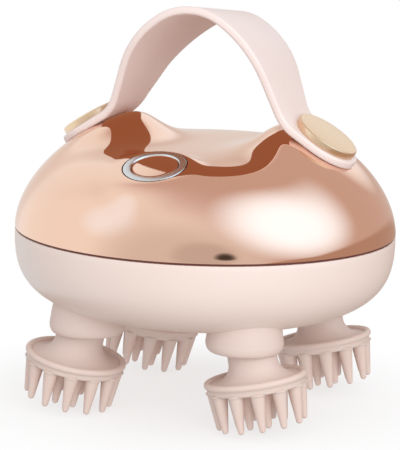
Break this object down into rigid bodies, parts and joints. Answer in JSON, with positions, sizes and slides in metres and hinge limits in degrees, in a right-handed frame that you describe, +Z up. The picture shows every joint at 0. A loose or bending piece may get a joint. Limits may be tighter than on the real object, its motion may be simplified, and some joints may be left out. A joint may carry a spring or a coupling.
{
  "type": "scalp massager",
  "caption": "Round powered scalp massager: scooped metallised dome with a power button and a soft hand strap over a bowl that carries leaning, rotating finger heads.",
  "frame": {"origin": "on the ground under the middle of the casings, at the level of the lowest finger tips", "axes": "+Z up, +X along the hand strap to the right, -Y towards the power button"},
  "size_m": [0.115, 0.115, 0.121],
  "materials": {
    "rose_gold_shell": "vacuum-metallised rose gold over ABS, mirror bright",
    "rose_gold_button": "vacuum-metallised rose gold over ABS, satin",
    "pearl_pink_bowl": "satin pearl pink lacquer over ABS",
    "seam_gasket": "dark red-brown moulded gasket",
    "strap_silicone": "soft satin silicone, pale pink",
    "stud_gold": "champagne gold anodised, brushed flat",
    "steel_fastener": "bright zinc and ground steel",
    "ring_silver": "turned, silver grey",
    "black_rubber": "black moulded seal",
    "seal_rubber": "dark grey lip seal",
    "switch_black": "black glass-filled nylon",
    "plunger_ivory": "ivory acetal",
    "board_green": "green solder mask",
    "cell_sleeve": "metal can in a blue shrink sleeve",
    "acetal_white": "natural acetal, moulded",
    "motor_can": "zinc-plated steel can",
    "brass_pinion": "cut brass",
    "bronze_bush": "sintered bronze",
    "contact_gold": "gold-plated brass",
    "pink_abs": "satin rose-pink lacquer over ABS",
    "finger_silicone": "soft satin silicone, pink"
  },
  "bodies": {
    "root": {"upper_shell": "rose_gold_shell", "lower_shell": "pearl_pink_bowl", "seam_ring": "seam_gasket", "strap": "strap_silicone", "stud_left": "stud_gold", "stud_right": "stud_gold", "stud_screws": "steel_fastener", "button_seal": "black_rubber", "tact_switch": "switch_black", "circuit_board": "board_green", "board_parts": "switch_black", "board_screws": "steel_fastener", "battery_cell": "cell_sleeve", "drive_plate": "acetal_white", "motor": "motor_can", "motor_screws": "steel_fastener", "reduction_pin": "steel_fastener", "sun_pin": "steel_fastener", "casing_screws": "steel_fastener", "charge_contacts": "contact_gold", "collar_fl": "pink_abs", "collar_fr": "pink_abs", "collar_bl": "pink_abs", "collar_br": "pink_abs", "shaft_bush_fl": "bronze_bush", "shaft_bush_fr": "bronze_bush", "shaft_bush_bl": "bronze_bush", "shaft_bush_br": "bronze_bush", "shaft_seal_fl": "seal_rubber", "shaft_seal_fr": "seal_rubber", "shaft_seal_bl": "seal_rubber", "shaft_seal_br": "seal_rubber"},
    "button": {"button_cap": "rose_gold_button", "button_ring": "ring_silver", "switch_plunger": "plunger_ivory"},
    "rotor": {"motor_shaft": "steel_fastener", "motor_pinion": "brass_pinion"},
    "reduction": {"reduction_gear": "acetal_white"},
    "sun": {"sun_gear": "acetal_white"},
    "head_fl": {"head_gear_fl": "acetal_white", "head_shaft_fl": "steel_fastener", "shaft_clip_fl": "steel_fastener", "head_hub_fl": "pink_abs", "finger_pad_fl": "finger_silicone"},
    "head_fr": {"head_gear_fr": "acetal_white", "head_shaft_fr": "steel_fastener", "shaft_clip_fr": "steel_fastener", "head_hub_fr": "pink_abs", "finger_pad_fr": "finger_silicone"},
    "head_bl": {"head_gear_bl": "acetal_white", "head_shaft_bl": "steel_fastener", "shaft_clip_bl": "steel_fastener", "head_hub_bl": "pink_abs", "finger_pad_bl": "finger_silicone"},
    "head_br": {"head_gear_br": "acetal_white", "head_shaft_br": "steel_fastener", "shaft_clip_br": "steel_fastener", "head_hub_br": "pink_abs", "finger_pad_br": "finger_silicone"}
  },
  "joints": [
    {"name": "button_press", "type": "slide", "parent": "root", "child": "button", "axis": [0, 0.3256, -0.9455], "range_m": [0, 0.0006], "stiffness_N_per_m": 2000},
    {"name": "sun_spin", "type": "hinge", "parent": "root", "child": "sun", "pos_m": [0, 0, 0.03997], "axis": [0, 0, 1], "continuous": true},
    {"name": "reduction_spin", "type": "hinge", "parent": "root", "child": "reduction", "pos_m": [0.0335, 0, 0.04267], "axis": [0, 0, 1], "continuous": true},
    {"name": "motor_spin", "type": "hinge", "parent": "root", "child": "rotor", "pos_m": [0.0155, 0, 0.04567], "axis": [0, 0, 1], "continuous": true},
    {"name": "head_fl_spin", "type": "hinge", "parent": "root", "child": "head_fl", "pos_m": [-0.025, -0.02928, 0.03267], "axis": [0, 0, 1], "continuous": true},
    {"name": "head_fr_spin", "type": "hinge", "parent": "root", "child": "head_fr", "pos_m": [0.025, -0.02928, 0.03267], "axis": [0, 0, 1], "continuous": true},
    {"name": "head_bl_spin", "type": "hinge", "parent": "root", "child": "head_bl", "pos_m": [-0.025, 0.02928, 0.03267], "axis": [0, 0, 1], "continuous": true},
    {"name": "head_br_spin", "type": "hinge", "parent": "root", "child": "head_br", "pos_m": [0.025, 0.02928, 0.03267], "axis": [0, 0, 1], "continuous": true}
  ],
  "couplings": [
    {"joint": "reduction_spin", "follows": "sun_spin", "ratio": -4.5833},
    {"joint": "motor_spin", "follows": "sun_spin", "ratio": 22.917},
    {"joint": "head_fl_spin", "follows": "sun_spin", "ratio": -2.5},
    {"joint": "head_fr_spin", "follows": "sun_spin", "ratio": -2.5},
    {"joint": "head_bl_spin", "follows": "sun_spin", "ratio": -2.5},
    {"joint": "head_br_spin", "follows": "sun_spin", "ratio": -2.5}
  ]
}
